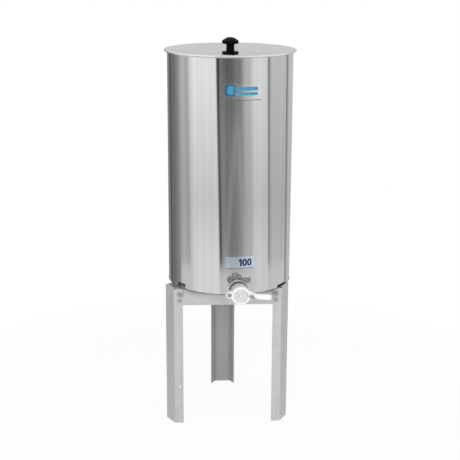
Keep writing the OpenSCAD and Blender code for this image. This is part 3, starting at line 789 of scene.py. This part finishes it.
def panel_level(tree, turn, height):
    """Brightness of the panels, with the slanting streaks."""
    level = PANELS[0][2]
    for before, (start, soft, after) in zip(PANELS, PANELS[1:]):
        edge = (math.radians(start - soft / 2), math.radians(start + soft / 2))
        level = maths(tree, "ADD", remap(tree, turn, 0.0, after - before[2], *edge), level)
    fan = remap(tree, height, 1.0, 0.0, FAN_FULL, FAN_TOP)
    for start, slope, reach, gain in FAN:
        slant = maths(tree, "MULTIPLY", height, math.radians(slope))
        middle = maths(tree, "ADD", slant, math.radians(start))
        away = maths(tree, "ABSOLUTE", maths(tree, "SUBTRACT", turn, middle))
        streak = maths(tree, "MULTIPLY", remap(tree, away, gain, 0.0, 0.0, math.radians(reach)), fan)
        level = maths(tree, "ADD", level, streak)
    return level


def shaded_level(tree, level, turn, height):
    """Dark front panels made darker towards their top, and bright panels dimmer at the middle."""
    dark = maths(tree, "MULTIPLY", remap(tree, level, DARK_SHARE, 0.0, DARK_FULL, DARK_BELOW),
                 remap(tree, height, 0.0, 1.0, DARK_LOW, DARK_TOP))
    aside = remap(tree, maths(tree, "ABSOLUTE", turn), 1.0, 0.0, DARK_SIDE, DARK_SIDE_END)
    dark = maths(tree, "MULTIPLY", dark, aside)
    level = maths(tree, "MULTIPLY", level, maths(tree, "SUBTRACT", 1.0, dark))
    fall = maths(tree, "MULTIPLY", remap(tree, height, 0.0, -DIM_SHARE, DIM_TOP, DIM_MIDDLE),
                 remap(tree, height, 1.0, DIM_BOTTOM_PART, DIM_MIDDLE, DIM_BOTTOM))
    dim = maths(tree, "MULTIPLY", fall, level)
    return maths(tree, "MULTIPLY", level, maths(tree, "ADD", dim, 1.0))


def skirt_share(tree, turn, height):
    """One on the bright skirt low on the ring."""
    low = remap(tree, height, 1.0, 0.0, SKIRT_LOW, SKIRT_HIGH)
    begun = remap(tree, turn, 0.0, 1.0, SKIRT_START, SKIRT_START + SKIRT_SOFT)
    ended = remap(tree, turn, 1.0, 0.0, SKIRT_END, SKIRT_END + SKIRT_SOFT)
    return maths(tree, "MULTIPLY", maths(tree, "MULTIPLY", low, begun), ended)


def panel_ring():
    """Ring of studio panels round the object and the camera, which shows only in reflections."""
    ring, tree = studio_mesh("studio_panels", [flat_ring(RING_R, RING_LOW, RING_SIDES),
                                               flat_ring(RING_R, RING_HIGH, RING_SIDES)])
    place = add(tree, "ShaderNodeSeparateXYZ", {0: coords(tree)}).outputs
    height = place["Z"]
    turn = maths(tree, "ARCTAN2", place["X"], maths(tree, "MULTIPLY", place["Y"], -1.0))
    lean = remap(tree, turn, LEAN_LEFT, LEAN, LEAN_FROM, LEAN_TO)
    turn = maths(tree, "ADD", turn, maths(tree, "MULTIPLY", height, lean))
    level = shaded_level(tree, panel_level(tree, turn, height), turn, height)
    uneven = remap(tree, noise(tree, STREAK_STRETCH, STREAK_DETAIL), -STREAK_GAIN, STREAK_GAIN)
    streaky = maths(tree, "ADD", level, uneven)
    skirted = mix(tree, skirt_share(tree, turn, height), streaky,
                  maths(tree, "MAXIMUM", streaky, SKIRT_LEVEL))
    fade = remap(tree, height, 0.0, 1.0, RING_FADE_LOW, RING_FADE_HIGH)
    shown = mix(tree, fade, skirted, grey(1.0))
    show(tree, add(tree, "ShaderNodeEmission", {"Color": shown, "Strength": 1.0}))
    ring.visible_camera = False
    ring.visible_diffuse = False


def soft_lights():
    """Square lamps aimed at the middle of the object."""
    middle = (cad_box[0] + cad_box[1]) / 2
    for i, (turn, height, reach, side, share) in enumerate(LIGHTS):
        data = bpy.data.lights.new("studio_light_%d" % i, "AREA")
        made = bpy.data.objects.new(data.name, data)
        bpy.context.scene.collection.objects.link(made)
        angle = math.radians(turn)
        place = Vector((reach * math.sin(angle), -reach * math.cos(angle), height))
        away = place - middle
        data.size = side
        data.energy = share * math.pi ** 2 * away.length_squared
        made.matrix_world = Matrix.Translation(place) @ away.to_track_quat("Z", "Y").to_matrix().to_4x4()
        made.visible_camera = False
        made.visible_glossy = False


def camera():
    """Camera at the photograph's point of view."""
    data = bpy.data.cameras.new("Camera")
    made = bpy.data.objects.new("Camera", data)
    bpy.context.scene.collection.objects.link(made)
    data.sensor_width, data.lens = SENSOR, LENS
    level = Vector((math.sin(CAMERA_PAN), math.cos(CAMERA_PAN), 0))
    sight = level * math.cos(CAMERA_PITCH) - Vector((0, 0, math.sin(CAMERA_PITCH)))
    right = Vector((math.cos(CAMERA_PAN), -math.sin(CAMERA_PAN), 0))
    above = right.cross(sight)
    tilt = Matrix.Rotation(CAMERA_ROLL, 3, -sight)
    spin = Matrix.Rotation(CAMERA_TURN, 3, "Z")
    axes = Matrix([spin @ tilt @ right, spin @ tilt @ above, spin @ -sight]).transposed()
    place = spin @ Vector((0, -CAMERA_REACH, CAMERA_HEIGHT))
    made.matrix_world = Matrix.Translation(place) @ axes.to_4x4()
    bpy.context.scene.camera = made


def white_world():
    """World that is white to the camera and in reflections, and dimmer as light on surfaces."""
    world = bpy.data.worlds.new("studio_world")
    world.use_nodes = True
    tree = world.node_tree
    path = add(tree, "ShaderNodeLightPath").outputs
    mirrored = maths(tree, "MAXIMUM", path["Is Glossy Ray"], path["Is Transmission Ray"])
    seen = maths(tree, "MAXIMUM", path["Is Camera Ray"], mirrored)
    shade = mix(tree, seen, grey(AMBIENT), grey(1.0))
    tree.links.new(shade, tree.nodes["Background"].inputs["Color"])
    bpy.context.scene.world = world


floor()
panel_ring()
soft_lights()
white_world()
camera()
bpy.context.scene.view_settings.view_transform = "Standard"
